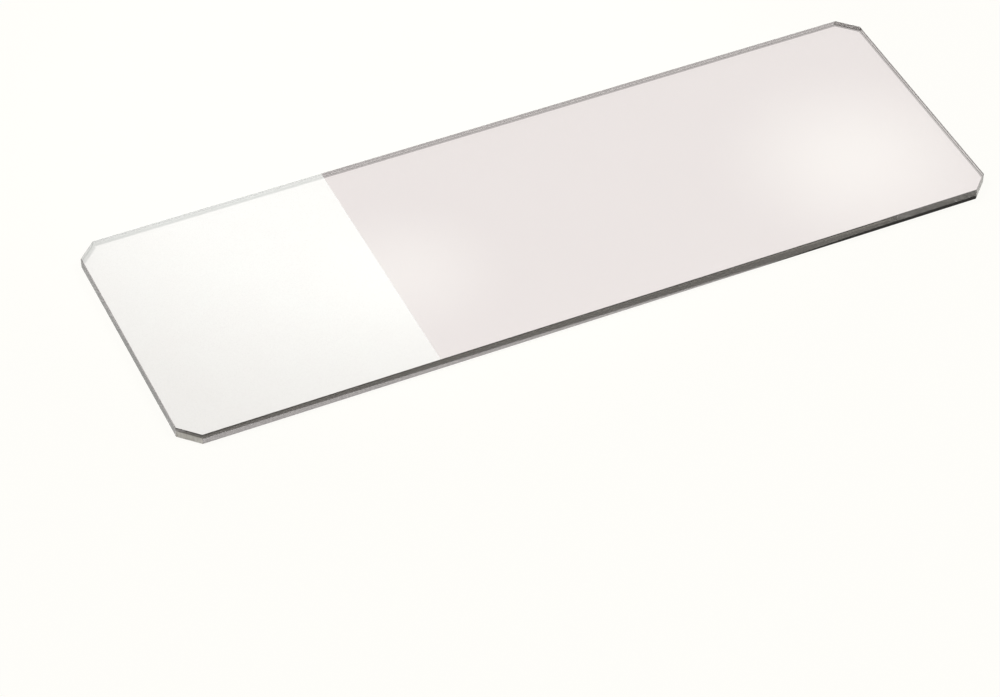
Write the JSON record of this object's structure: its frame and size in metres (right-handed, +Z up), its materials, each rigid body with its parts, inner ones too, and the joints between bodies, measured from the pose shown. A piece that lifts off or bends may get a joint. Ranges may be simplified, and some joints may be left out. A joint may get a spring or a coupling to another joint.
{
  "type": "microscope slide",
  "caption": "Clear glass microscope slide with clipped corners, seamed edges and a white marking area printed at the end of its top face.",
  "frame": {"origin": "centre of the slide's underside, which lies on the surface that the slide rests on", "axes": "+X along the slide's length towards its clear end, away from the marking area; +Y across its width; +Z up out of the printed face"},
  "size_m": [0.076, 0.026, 0.0011],
  "materials": {
    "clear_glass": "polished clear glass with ground edges",
    "white_ink": "satin screen-printed white"
  },
  "bodies": {
    "root": {"glass_plate": "clear_glass", "marking_area": "white_ink"}
  },
  "joints": []
}
